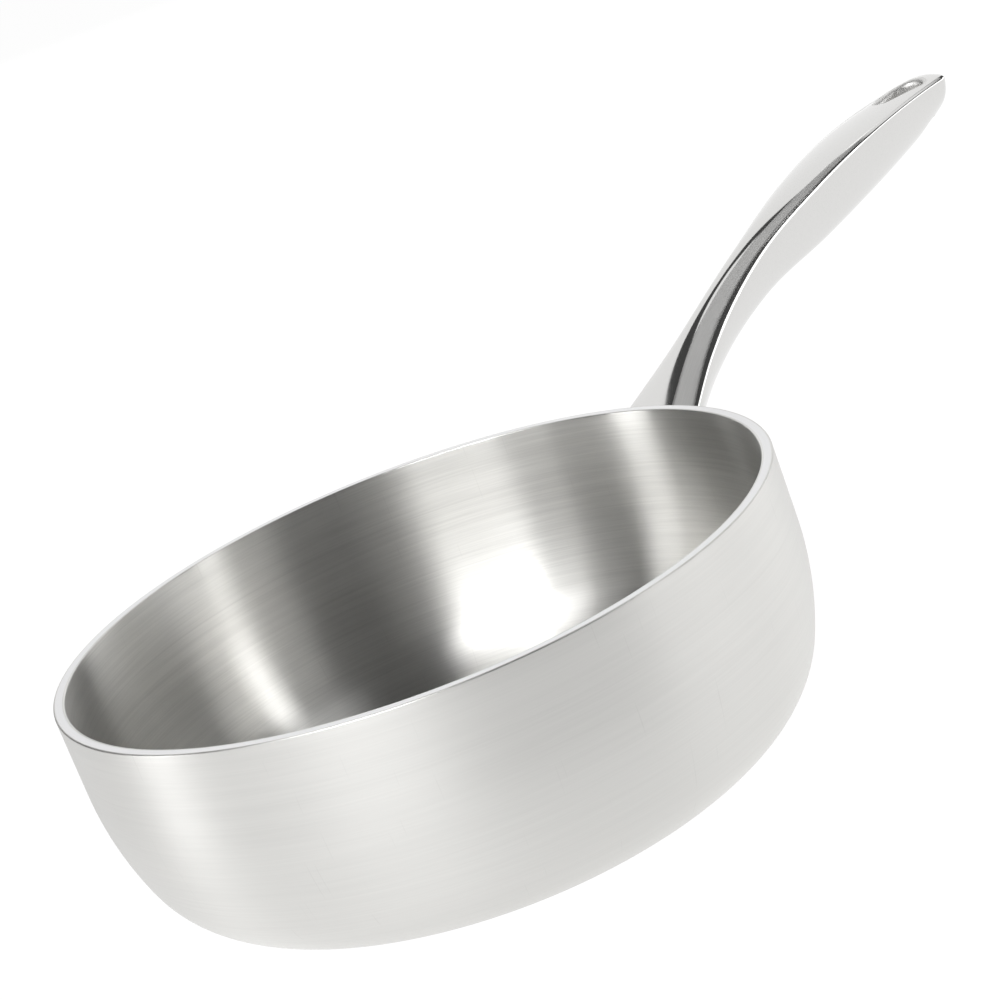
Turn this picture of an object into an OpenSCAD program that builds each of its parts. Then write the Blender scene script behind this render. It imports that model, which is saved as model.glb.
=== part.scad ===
// Saucier pan in three-ply clad steel with a hollow welded handle.
// Millimetres. The origin is the centre of the underside, +Z is up and
// the handle points along +X.

/* [Pan body] */
// Inside diameter at the rim
pan_inner_d = 180; // [140:1:260]
// Height from the underside to the rim
pan_h = 64; // [58:0.5:90]
// Height of the straight band of wall under the rim
straight_h = 20; // [18:0.5:26]
// Outside radius of the long shallow curve below the straight band
bow_r = 80; // [60:1:90]
// Outside radius of the tight curve where the wall meets the floor
corner_r = 26; // [20:0.5:32]

/* [Clad plies] */
// Thickness of the stainless ply that the food touches
liner_t = 0.6; // [0.4:0.05:0.8]
// Thickness of the aluminium core
core_t = 1.9; // [1.2:0.1:3]
// Thickness of the magnetic stainless ply outside
shell_t = 0.5; // [0.4:0.05:0.8]
// Rounding of the two edges of the rim
rim_edge_r = 0.35; // [0.2:0.05:0.4]

/* [Handle line] */
// Reach of the handle beyond the wall
handle_reach = 171; // [140:1:210]
// Depth of the handle's top line below the rim where it meets the wall
root_drop = 6; // [4:0.5:8]
// Rise of the top line from the wall to the crest of its arch
crest_rise = 39.4; // [20:0.2:55]
// Place of the crest, as a share of the reach
crest_at = 0.93; // [0.8:0.01:1]
// Fullness of the arch, where 2 is a plain parabola
arch_power = 2.2; // [1.8:0.05:2.6]
// Height of the crown across the top face
crown_h = 1.2; // [0.6:0.1:1.6]

/* [Handle widths] */
// Width where the foot meets the pan
foot_w = 32; // [24:0.5:36]
// Width at the throat, just beyond the foot
throat_w = 16.8; // [14:0.2:20]
// Width at the neck, the slimmest place
neck_w = 11.4; // [10:0.2:14]
// Width under the palm
palm_w = 16.2; // [14:0.2:20]
// Width at the fullest place of the grip
grip_w = 19.2; // [17:0.2:22]
// Width of the tip before its end is rounded
tip_w = 15.4; // [14:0.2:18]

/* [Handle depths] */
// Depth where the foot meets the pan
foot_d = 16.8; // [14:0.2:20]
// Depth at the throat
throat_d = 14.2; // [12:0.2:18]
// Depth at the neck
neck_d = 15.4; // [12:0.2:18]
// Depth under the palm
palm_d = 19.2; // [14:0.2:22]
// Depth at the fullest place of the grip
grip_d = 18.2; // [14:0.2:22]
// Depth of the tip before its underside rises
tip_d = 12.6; // [11:0.2:15]

/* [Handle edges and shells] */
// Width of the linished facet along each side, at the foot
facet_foot_w = 8.8; // [6:0.1:9.5]
// Width of the linished facet at the neck
facet_neck_w = 3.6; // [2.4:0.1:4.2]
// Width of the linished facet at the tip
facet_tip_w = 1.8; // [1.5:0.1:2.4]
// Slope of the facets, from level
facet_slope = 40; // [30:1:50]
// Length of the rounded end in plan
tip_round_l = 8; // [7:0.5:12]
// Length over which the underside rises to the tip
nose_l = 20; // [14:0.5:30]
// Sheet thickness of the two pressed shells
handle_t = 1.5; // [1:0.1:1.8]
// Width of the ground weld that joins the shells along each side
seam_w = 1.2; // [0.8:0.1:1.4]
// Diameter of the vent hole under the throat
vent_d = 2; // [1.5:0.1:3]

/* [Hang slot] */
// Length of the teardrop slot
slot_l = 20; // [16:0.5:26]
// Width of the slot at its round end
slot_w = 9; // [7:0.2:9.4]
// Width of the slot at its narrow end
slot_point_w = 3; // [2.4:0.1:5]
// Metal between the slot and the tip
slot_end_gap = 8.5; // [6:0.5:12]
// Wall of the sleeve round the slot
sleeve_t = 1; // [0.8:0.1:1.2]

/* [Foot joint] */
// Thickness of the weld plate in the foot
plate_t = 1.5; // [1:0.1:2.5]
// Margin of the weld plate round the handle
plate_lip = 1.6; // [1.4:0.1:2]
// Height of the weld pads, which hold the plate off the wall
pad_h = 0.3; // [0.2:0.05:0.6]
// Diameter of one weld pad
pad_d = 4.4; // [3:0.2:5]
// Pitch of the weld pads along the wall
pad_pitch_y = 8; // [6:0.5:9]
// Pitch of the weld pads up the wall
pad_pitch_z = 6.4; // [5.4:0.2:7]
// Leg of the fillet weld round the foot
fillet_leg = 1.2; // [0.8:0.1:1.4]

/* [Hidden] */

$fn = 120;
eps = 0.02;
// Length that carries a cutter clear past a surface
over = 30;

// Radii and the two curve centres of the body, in its half section
inner_r = pan_inner_d / 2;
wall_t = liner_t + core_t + shell_t;
wall_r = inner_r + wall_t;
bow_z = pan_h - straight_h;
bow_x = wall_r - bow_r;
bow_angle = asin((bow_z - corner_r) / (bow_r - corner_r));
base_r = bow_x + (bow_r - corner_r) * cos(bow_angle);

// Stations along the handle, as shares of its reach
throat_at = 0.15;
neck_at = 0.35;
palm_at = 0.55;
grip_at = 0.75;
// Shares of the reach over which the sections turn from upright to square, and
// lose the roundness of the weld plate
foot_turn = 0.25;
bow_fade = 0.12;
// Share of the tip's depth that is left at its very end
nose_share = 0.34;
// Drop and length of the top face where it rounds over into the nose
brow_drop = 3;
brow_l = 7;
// How far the facet's upper and lower edges are rounded into their neighbours
top_edge = 0.9;
low_edge = 1.8;

widths = [
    [0, foot_w], [throat_at, throat_w], [neck_at, neck_w],
    [palm_at, palm_w], [grip_at, grip_w], [1, tip_w]
];
depths = [
    [0, foot_d], [throat_at, throat_d], [neck_at, neck_d],
    [palm_at, palm_d], [grip_at, grip_d], [1, tip_d]
];
facets = [
    [0, facet_foot_w], [throat_at, (facet_foot_w + facet_neck_w) / 2],
    [neck_at, facet_neck_w], [grip_at, facet_tip_w], [1, facet_tip_w]
];

// Counts of the handle's mesh: rings along it and points round it
ring_n = 44;
crown_n = 6;
belly_n = 14;
edge_n = 3;
// Count of points round the slot's round end
slot_arc_n = 20;

// Radius of the face of the weld plate, which the foot stands on
foot_off = pad_h + plate_t;
foot_face_r = wall_r + foot_off;
foot_at = foot_off / handle_reach;
root_z = pan_h - root_drop;
tip_x = wall_r + handle_reach;

// Half section of the body's outer form moved in by t, up to the height top
module cup(t, top) {
    translate([0, t]) square([base_r, top - t]);
    translate([base_r, corner_r]) circle(corner_r - t);
    intersection() {
        translate([bow_x, bow_z]) circle(bow_r - t);
        polygon([
            [bow_x, bow_z],
            [bow_x + 2 * bow_r, bow_z],
            [bow_x + 2 * bow_r * cos(bow_angle), bow_z - 2 * bow_r * sin(bow_angle)]
        ]);
    }
    translate([0, bow_z]) square([wall_r - t, top - bow_z]);
}

// Half section of one ply between the depths t0 and t1
module ply_section(t0, t1) {
    difference() {
        cup(t0, pan_h);
        cup(t1, pan_h + over);
    }
}

// Corner that is ground off the rim at the radius r, facing side (1 out, -1 in)
module rim_corner(r, side) {
    translate([r, pan_h]) scale([side, 1]) difference() {
        translate([-rim_edge_r, -rim_edge_r]) square([rim_edge_r + 1, rim_edge_r + 1]);
        translate([-rim_edge_r, -rim_edge_r]) circle(rim_edge_r);
    }
}

module cooking_liner() {
    color("gainsboro") rotate_extrude() difference() {
        ply_section(shell_t + core_t, wall_t);
        rim_corner(inner_r, -1);
    }
}

module aluminium_core() {
    color("lightgrey") rotate_extrude() ply_section(shell_t, shell_t + core_t);
}

module outer_shell() {
    color("silver") rotate_extrude() difference() {
        ply_section(0, shell_t);
        rim_corner(wall_r, 1);
    }
}

// Smooth curve through the stations s, each [place, value], at the place t
function grade(s, i) = (s[i + 1][1] - s[i][1]) / (s[i + 1][0] - s[i][0]);
function bend(s, i) =
    i == 0 ? grade(s, 0)
    : i == len(s) - 1 ? grade(s, i - 1)
    : (grade(s, i - 1) + grade(s, i)) / 2;
function ease4(a, b, ga, gb, u) =
    a * (1 + 2 * u) * (1 - u) * (1 - u) + ga * u * (1 - u) * (1 - u)
    + b * u * u * (3 - 2 * u) - gb * u * u * (1 - u);
function along(s, t, i = 0) =
    t > s[i + 1][0] && i < len(s) - 2 ? along(s, t, i + 1)
    : let (w = s[i + 1][0] - s[i][0])
      ease4(s[i][1], s[i + 1][1], bend(s, i) * w, bend(s, i + 1) * w, (t - s[i][0]) / w);

// Top line of the handle and its slope in degrees
function top_z(t) =
    root_z + crest_rise * (1 - pow(abs(crest_at - t) / crest_at, arch_power));
function top_slope(t) = atan(
    sign(crest_at - t) * crest_rise * arch_power / crest_at / handle_reach
    * pow(abs(crest_at - t) / crest_at, arch_power - 1)
);
function settle(u) = u >= 1 ? 1 : u * u * (3 - 2 * u);
function section_tilt(t) = top_slope(t) * settle(t / foot_turn);

// Quarter round that closes over the length l at the distance u from the end
function round_off(u, l) = u >= l ? 1 : sqrt(1 - pow(1 - u / l, 2));

// Drop of the section at t, inset by i, where the top rounds over into the nose
function sink(t, i) =
    (brow_drop - i) * (1 - round_off(handle_reach * (1 - t) - i, brow_l - i));

// Half section of the handle at t, inset by i: its half width, the corner of
// the top face, the lower corner of the facet, the belly's depth and the crown
function section_sizes(t, i) =
    let (
        u = handle_reach * (1 - t),
        w = along(widths, t) / 2,
        f = along(facets, t),
        fx = f * cos(facet_slope),
        close = round_off(u - i, tip_round_l - i),
        nose = nose_share + (1 - nose_share) * round_off(u - i, nose_l - i),
        half = (w - i) * close,
        corner = half * (w - fx - i * tan(facet_slope / 2)) / (w - i),
        facet_z = -f * sin(facet_slope) - i * tan(45 - facet_slope / 2),
        floor_z = i - along(depths, t) * nose
    )
    [half, corner, facet_z, floor_z, crown_h * close];

// Point [across, up] on the facet, at the share k from top corner to lower one
function facet_point(t, i, k) =
    let (s = section_sizes(t, i))
    [s[1] + (s[0] - s[1]) * k, -i + (s[2] + i) * k];

// Shares of the facet at which the ground weld starts and ends
function seam_share(t, side) = 0.5 + side * seam_w / 2 / along(facets, t);

// Curve that rounds the corner c between the points a and b
function rounded(a, c, b) =
    [for (k = [1 : edge_n - 1])
        let (u = k / edge_n) a * (1 - u) * (1 - u) + c * 2 * u * (1 - u) + b * u * u];

// Right half of the upper shell's outline, from its weld to the crown's middle
function upper_half(t, i) =
    let (
        s = section_sizes(t, i),
        share = seam_share(t, -1),
        last = 1 - min(top_edge / s[1], 0.4),
        a = facet_point(t, i, min(0.8 * share, 0.8 * top_edge / along(facets, t))),
        b = [s[1] * last, s[4] * (1 - last * last) - i]
    )
    concat(
        [facet_point(t, i, share), a],
        rounded(a, facet_point(t, i, 0), b),
        [for (k = [crown_n / 2 : -1 : 0])
            let (v = 2 * k / crown_n * last) [s[1] * v, s[4] * (1 - v * v) - i]]
    );

// Right half of the lower shell's outline, from its weld to the keel
function lower_half(t, i) =
    let (
        s = section_sizes(t, i),
        share = seam_share(t, 1),
        turn = asin(min(low_edge / (s[2] - s[3]), 0.5)),
        a = facet_point(t, i, 1 - min(0.8 * (1 - share), 0.8 * low_edge / along(facets, t))),
        b = [s[0] * cos(turn), s[2] + (s[3] - s[2]) * sin(turn)]
    )
    concat(
        [facet_point(t, i, share), a],
        rounded(a, facet_point(t, i, 1), b),
        [for (k = [0 : belly_n / 2])
            let (v = turn + (90 - turn) * 2 * k / belly_n)
            [s[0] * cos(v), s[2] + (s[3] - s[2]) * sin(v)]]
    );

// Outline of the upper shell from its left weld over the crown to its right one
function upper_outline(t, i) =
    let (right = upper_half(t, i), n = len(right))
    concat(
        [for (k = [0 : n - 2]) [-right[k][0], right[k][1]]],
        [for (k = [n - 1 : -1 : 0]) right[k]]
    );

// Outline of the lower shell from its right weld under the belly to its left one
function lower_outline(t, i) =
    let (right = lower_half(t, i), n = len(right))
    concat(right, [for (k = [n - 2 : -1 : 0]) [-right[k][0], right[k][1]]]);

// Outline of the ground weld on the side (1 right, -1 left)
function seam_outline(t, i, side) =
    let (
        a = facet_point(t, i, seam_share(t, -1)),
        b = facet_point(t, i, seam_share(t, 1))
    )
    side > 0 ? [a, b] : [[-b[0], b[1]], [-a[0], a[1]]];

// Whole outline of the handle, clockwise seen from the tip
function whole_outline(t, i) = concat(upper_outline(t, i), lower_outline(t, i));

// Share of the reach at ring k, closer together towards the tip. Ring 0 is the
// foot, and ring 1 is where the fillet weld ends.
function ring_at(k, i) =
    k == 0 ? 0
    : 1 - (i + eps + (handle_reach - foot_off - fillet_leg - i - eps)
        * pow(1 - (k - 1) / (ring_n - 1), 1.5)) / handle_reach;

// Set-back of the weld plate's round face at the distance y off its middle
function sag(y) = foot_face_r - sqrt(pow(foot_face_r, 2) - pow(y, 2));

// Outline points at t, inset by i, set in space square to the handle's line.
// Near the foot they still follow some of the plate's roundness.
function place(points, t, i) =
    let (
        a = section_tilt(t),
        x = wall_r + handle_reach * t,
        z = top_z(t) - sink(t, i),
        bow = 1 - settle((t - foot_at) / bow_fade)
    )
    [for (p = points) [x - p[1] * sin(a) - sag(p[0]) * bow, p[0], z + p[1] * cos(a)]];

// Outline points at the foot, on the face of the weld plate or off it by d
function place_foot(points, d = 0) =
    [for (p = points)
        [foot_face_r - sag(p[0]) + d, p[0], top_z(foot_at + d / handle_reach) + p[1]]];

function ring(points, k, i) =
    k == 0 ? place_foot(points)
    : k == 1 ? place_foot(points, fillet_leg)
    : place(points, ring_at(k, i), i);

// Triangles of a band of quads between two rows of m points, at the offset o
function band(a, b, m, wrap, o = 0) =
    [for (j = [0 : m - (wrap ? 1 : 2)])
        let (n = (j + 1) % m)
        each [[o + a + j, o + a + n, o + b + n], [o + a + j, o + b + n, o + b + j]]];

// Closed sheet between an outer and an inner grid of n rows of m points
module sheet(outer, inner) {
    n = len(outer);
    m = len(outer[0]);
    flip = n * m;
    polyhedron(
        concat([for (r = outer) each r], [for (r = inner) each r]),
        concat(
            [for (i = [0 : n - 2]) each band(i * m, (i + 1) * m, m, false)],
            [for (i = [0 : n - 2]) each band((i + 1) * m, i * m, m, false, flip)],
            band(flip, 0, m, false),
            band((n - 1) * m, flip + (n - 1) * m, m, false),
            [for (i = [0 : n - 2]) each [
                [i * m, (i + 1) * m, flip + (i + 1) * m],
                [i * m, flip + (i + 1) * m, flip + i * m],
                [(i + 1) * m - 1, flip + (i + 2) * m - 1, (i + 2) * m - 1],
                [(i + 1) * m - 1, flip + (i + 1) * m - 1, flip + (i + 2) * m - 1]
            ]]
        )
    );
}

// Points of the hang slot's outline grown by g, with the round end towards the tip
function slot_points(g) =
    let (
        big = slot_w / 2 + g,
        small = slot_point_w / 2 + g,
        run = slot_l - (slot_w + slot_point_w) / 2,
        a = acos((big - small) / run),
        round_x = tip_x - slot_end_gap - slot_w / 2
    )
    concat(
        [for (k = [0 : slot_arc_n])
            let (v = (180 - a) * (2 * k / slot_arc_n - 1))
            [round_x + big * cos(v), big * sin(v)]],
        [for (k = [0 : slot_arc_n / 2])
            let (v = 180 + a * (4 * k / slot_arc_n - 1))
            [round_x - run + small * cos(v), small * sin(v)]]
    );

// Column through the handle that makes room for the sleeve
module sleeve_hole() {
    translate([0, 0, top_z(1) - over]) linear_extrude(2 * over)
        polygon(slot_points(sleeve_t));
}

// Heights of the handle's upper and lower faces at the place [x, y]
function face_z(half, p) =
    let (t = (p[0] - wall_r) / handle_reach)
    top_z(t) - sink(t, 0) + lookup(abs(p[1]), [for (q = half) [q[0], q[1]]]);
function upper_z(p) = face_z(upper_half((p[0] - wall_r) / handle_reach, 0), p);
function lower_z(p) = face_z(lower_half((p[0] - wall_r) / handle_reach, 0), p);

module handle_upper_shell() {
    color("whitesmoke") difference() {
        sheet(
            [for (k = [0 : ring_n]) ring(upper_outline(ring_at(k, 0), 0), k, 0)],
            [for (k = [0 : ring_n])
                ring(upper_outline(ring_at(k, handle_t), handle_t), k, handle_t)]
        );
        sleeve_hole();
    }
}

module handle_lower_shell() {
    vent_x = wall_r + handle_reach * throat_at;
    color("white") difference() {
        sheet(
            [for (k = [0 : ring_n]) ring(lower_outline(ring_at(k, 0), 0), k, 0)],
            [for (k = [0 : ring_n])
                ring(lower_outline(ring_at(k, handle_t), handle_t), k, handle_t)]
        );
        sleeve_hole();
        translate([vent_x, 0, top_z(throat_at) - over])
            cylinder(d = vent_d, h = over - throat_d / 2);
    }
}

module handle_seam_welds() {
    color("darkgrey") for (side = [-1, 1]) {
        sheet(
            [for (k = [0 : ring_n])
                ring(seam_outline(ring_at(k, 0), 0, side), k, 0)],
            [for (k = [0 : ring_n])
                ring(seam_outline(ring_at(k, handle_t), handle_t, side), k, handle_t)]
        );
    }
}

module hang_slot_sleeve() {
    inner = slot_points(0);
    outer = slot_points(sleeve_t);
    m = len(inner);
    color("grey") polyhedron(
        concat(
            [for (p = outer) [p[0], p[1], lower_z(p)]],
            [for (p = outer) [p[0], p[1], upper_z(p)]],
            [for (p = inner) [p[0], p[1], upper_z(p)]],
            [for (p = inner) [p[0], p[1], lower_z(p)]]
        ),
        [for (k = [0 : 3]) each band((k + 1) % 4 * m, k * m, m, true)]
    );
}

// Ring of wall between two radii over the height of the foot
module wall_ring(r0, r1) {
    translate([0, 0, root_z - 2 * foot_d]) difference() {
        cylinder(r = r1, h = 3 * foot_d);
        translate([0, 0, -over]) cylinder(r = r0, h = 3 * foot_d + 2 * over);
    }
}

module handle_foot_plate() {
    color("lightslategrey") intersection() {
        wall_ring(wall_r + pad_h, foot_face_r);
        translate([wall_r / 2, 0, top_z(foot_at)]) rotate([90, 0, 90])
            linear_extrude(wall_r) polygon(whole_outline(0, -plate_lip));
    }
}

module handle_foot_weld() {
    rows = [
        place_foot(whole_outline(0, 0)),
        ring(whole_outline(ring_at(1, 0), 0), 1, 0),
        place_foot(whole_outline(0, -fillet_leg))
    ];
    m = len(rows[0]);
    color("darkgrey") polyhedron(
        [for (r = rows) each r],
        concat(
            band(m, 0, m, true),
            band(2 * m, m, m, true),
            band(0, 2 * m, m, true)
        )
    );
}

module foot_weld_pads() {
    mid_z = top_z(foot_at) - foot_d / 2;
    color("dimgrey") intersection() {
        wall_ring(wall_r, wall_r + pad_h);
        for (y = [-1, 1], z = [-1, 1]) {
            translate([wall_r / 2, y * pad_pitch_y / 2, mid_z + z * pad_pitch_z / 2])
                rotate([0, 90, 0]) cylinder(d = pad_d, h = wall_r);
        }
    }
}

cooking_liner();
aluminium_core();
outer_shell();
handle_upper_shell();
handle_lower_shell();
handle_seam_welds();
hang_slot_sleeve();
handle_foot_plate();
handle_foot_weld();
foot_weld_pads();
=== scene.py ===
"""Looks of a clad steel saucier pan: its finishes, its smooth handle and its studio."""

from math import acos, asin, atan, cos, pi, radians, sin, sqrt, tan

import bmesh
import bpy
from bpy.props import FloatProperty, FloatVectorProperty, IntProperty, PointerProperty
from mathutils import Matrix, Vector


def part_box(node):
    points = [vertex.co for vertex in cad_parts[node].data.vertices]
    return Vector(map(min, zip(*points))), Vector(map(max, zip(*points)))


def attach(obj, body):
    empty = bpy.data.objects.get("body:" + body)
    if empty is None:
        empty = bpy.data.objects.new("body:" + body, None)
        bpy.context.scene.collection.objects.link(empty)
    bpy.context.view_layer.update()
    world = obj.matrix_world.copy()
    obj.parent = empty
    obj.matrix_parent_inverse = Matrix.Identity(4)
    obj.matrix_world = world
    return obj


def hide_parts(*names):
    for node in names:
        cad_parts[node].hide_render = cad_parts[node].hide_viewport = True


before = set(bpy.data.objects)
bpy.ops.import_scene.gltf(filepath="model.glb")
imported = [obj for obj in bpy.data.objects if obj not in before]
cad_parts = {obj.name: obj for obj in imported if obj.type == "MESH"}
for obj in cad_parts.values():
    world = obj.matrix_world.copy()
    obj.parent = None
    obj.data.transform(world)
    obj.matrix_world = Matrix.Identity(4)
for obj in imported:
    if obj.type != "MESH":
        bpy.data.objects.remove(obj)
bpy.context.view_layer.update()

bl_info = {
    "name": "Saucier pan",
    "version": (1, 0, 0),
    "blender": (4, 5, 0),
    "location": "3D View > Sidebar > Saucier",
    "description": "Dresses a packed saucier pan in brushed and polished steel",
    "category": "Add Mesh",
}

MM = 0.001
WALL_RADIUS = -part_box("outer_shell")[0].x
RIM_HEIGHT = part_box("outer_shell")[1].z
TIP_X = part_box("handle_upper_shell")[1].x

# Points closer than this count as one
ONE_POINT = 0.002 * MM
# Faces that meet at more than this angle show an edge
SHARP_ANGLE = radians(32)

# Places along the handle, as shares of its reach, at which its widths and depths are given
STATIONS = (0.0, 0.15, 0.35, 0.55, 0.75, 1.0)
# Place of the vent hole, also as a share of the reach, and the count of its sides
VENT_AT = 0.15
VENT_SIDES = 24

# Steps round the body's corner, its bow, its straight band, and an edge of its rim
CORNER_STEPS = 20
BOW_STEPS = 16
BAND_STEPS = 4
RIM_STEPS = 6
# Steps round a lip of the slot, and across the hollow of the foot's weld
LIP_STEPS = 8
WELD_STEPS = 6

# Cells of each noise texture in a metre
CLOUDS = 14.0
WAVES = 45.0
HAZE = 900.0
LUMPS = 700.0
GRIND_MARKS = 4000.0
SLOT_PATCHES = 260.0
SLOT_GRAIN = 1200.0
# Length and width of the light scratches, and the range of their noise over which they appear
SCRATCH_LENGTH = 24 * MM
SCRATCH_WIDTH = 0.6 * MM
SCRATCH_RANGE = (0.72, 0.78)
# Level of the steel's colour in a scratch
SCRATCH_LEVEL = 0.4
# Depth below the rim of the faint line round the wall, and the distances over which it fades
RING_DEPTH = 15 * MM
RING_RANGE = (0.1 * MM, 0.35 * MM)
# Length and width of the belt lines on the facets, and the range of their mask over which they appear
BELT_LENGTH = 14 * MM
BELT_WIDTH = 0.2 * MM
BELT_RANGE = (0.3, 0.7)
# Share of the reach over which the belt lines fade into polish
BELT_FADE = 0.3
# Rings round the rim on the core's edge: how often they change on the way round, and their width
EDGE_TURNS = 6.0
EDGE_WIDTH = 0.25 * MM
# Turn, as a share of a whole one, that spreads the shine across the brushing
ACROSS = 0.25

# Softboxes round the pan: azimuth, elevation, width and height in degrees, and radiance
SOFTBOXES = {
    "key": (-158.5, 43, 30, 36, 4.9),
    "key_edge": (178, 42, 20, 38, 2.7),
    "key_far": (160, 36, 16, 36, 0.6),
    "strip": (-64, 22, 9, 20, 4.6),
    "low_strip": (-51, 7, 14, 11, 2.4),
    "glint": (-8, 10, 22, 14, 2.1),
    "low_glint": (-32, 6, 26, 10, 1.8),
    "grip_fill": (-4, 42, 18, 22, 0.9),
    "facet_fill": (-46, 61, 22, 18, 1.0),
    "overhead": (41, 34, 50, 62, 0.96),
    "back": (135, 14, 14, 24, 5.0),
    "low_back": (157, 5, 34, 9, 0.8),
    "low_front": (-106, 5, 60, 9, 0.3),
    "low_side": (-20, 5, 84, 9, 0.2),
}
# The softboxes' distance from the point that they all face
LAMP_DISTANCE = 2.5
LAMP_AIM = Vector((0, 0, 0.05))
# Strength of the world below and above the band of elevations, in degrees, over which it changes
WORLD_LOW = 0.8
WORLD_HIGH = 0.07
WORLD_BAND = (1, 5)
# How much of the floor that the camera and the steel see is its own white. The rest is lit, and keeps
# the shadow.
FLOOR_SHARE = 0.88
FLOOR_GLOW = 1.1
FLOOR_PAINT = 0.8
WHITE = (1, 1, 1, 1)
# Width of the camera's sensor in millimetres
SENSOR_WIDTH = 36


class SaucierFinish(bpy.types.PropertyGroup):
    """Colours and finishes of the steel."""

    steel: FloatVectorProperty(
        name="Steel", description="Colour of the brushed stainless steel",
        default=(0.74, 0.735, 0.715), subtype="COLOR", min=0, max=1)
    polished: FloatVectorProperty(
        name="Polished steel", description="Colour of the mirror polished handle",
        default=(0.69, 0.686, 0.676), subtype="COLOR", min=0, max=1)
    aluminium: FloatVectorProperty(
        name="Aluminium", description="Colour of the core's ground edge",
        default=(0.84, 0.84, 0.845), subtype="COLOR", min=0, max=1)
    liner_brushing: FloatProperty(
        name="Liner brushing",
        description="How much further the shine spreads across the brushing than along it",
        default=1.0, subtype="FACTOR", min=0, max=1)
    shell_brushing: FloatProperty(
        name="Shell brushing",
        description="How much further the shine spreads across the outside's brushing than along it",
        default=0.83, subtype="FACTOR", min=0, max=1)
    liner_grain: FloatProperty(
        name="Liner grain", description="How strongly the brushing lines show on the cooking surface",
        default=0.06, subtype="FACTOR", min=0, max=0.5)
    shell_grain: FloatProperty(
        name="Shell grain", description="How strongly the brushing lines show on the outside",
        default=0.02, subtype="FACTOR", min=0, max=0.5)
    wear: FloatProperty(
        name="Wear", description="How strongly light scratches show across the brushing",
        default=0.08, subtype="FACTOR", min=0, max=0.5)
    liner_roughness: FloatProperty(
        name="Liner roughness", description="Roughness of the cooking surface",
        default=0.325, subtype="FACTOR", min=0, max=1)
    shell_roughness: FloatProperty(
        name="Shell roughness", description="Roughness of the outside",
        default=0.43, subtype="FACTOR", min=0, max=1)
    polish_roughness: FloatProperty(
        name="Polish roughness", description="Roughness of the polished handle",
        default=0.09, subtype="FACTOR", min=0, max=1)
    facet_roughness: FloatProperty(
        name="Facet roughness", description="Roughness of the handle's linished facets",
        default=0.34, subtype="FACTOR", min=0, max=1)
    facet_end: FloatProperty(
        name="Facet end", description="Share of the reach at which the facets are polished away",
        default=0.8, subtype="FACTOR", min=0.2, max=1)
    grain_width: FloatProperty(
        name="Grain width", description="Spacing of the brushing lines",
        default=0.45 * MM, subtype="DISTANCE", unit="LENGTH", min=0.1 * MM, max=2 * MM)
    grain_length: FloatProperty(
        name="Grain length", description="Length of one brushing line",
        default=26 * MM, subtype="DISTANCE", unit="LENGTH", min=2 * MM, max=200 * MM)


class SaucierBody(bpy.types.PropertyGroup):
    """Sizes of the pan's body."""

    straight: FloatProperty(
        name="Straight band", description="Height of the straight band of wall under the rim",
        default=20 * MM, subtype="DISTANCE", unit="LENGTH")
    bow: FloatProperty(
        name="Bow", description="Outside radius of the long shallow curve below the straight band",
        default=80 * MM, subtype="DISTANCE", unit="LENGTH")
    corner: FloatProperty(
        name="Corner", description="Outside radius of the tight curve where the wall meets the floor",
        default=26 * MM, subtype="DISTANCE", unit="LENGTH")
    shell: FloatProperty(
        name="Shell", description="Thickness of the steel ply outside",
        default=0.5 * MM, subtype="DISTANCE", unit="LENGTH")
    core: FloatProperty(
        name="Core", description="Thickness of the aluminium core",
        default=1.9 * MM, subtype="DISTANCE", unit="LENGTH")
    liner: FloatProperty(
        name="Liner", description="Thickness of the steel ply that the food touches",
        default=0.6 * MM, subtype="DISTANCE", unit="LENGTH")
    rim_edge: FloatProperty(
        name="Rim edge", description="Rounding of the two edges of the rim",
        default=0.35 * MM, subtype="DISTANCE", unit="LENGTH")
    steps: IntProperty(
        name="Steps", description="Count of steps round the pan",
        default=240, min=24, max=480)


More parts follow.
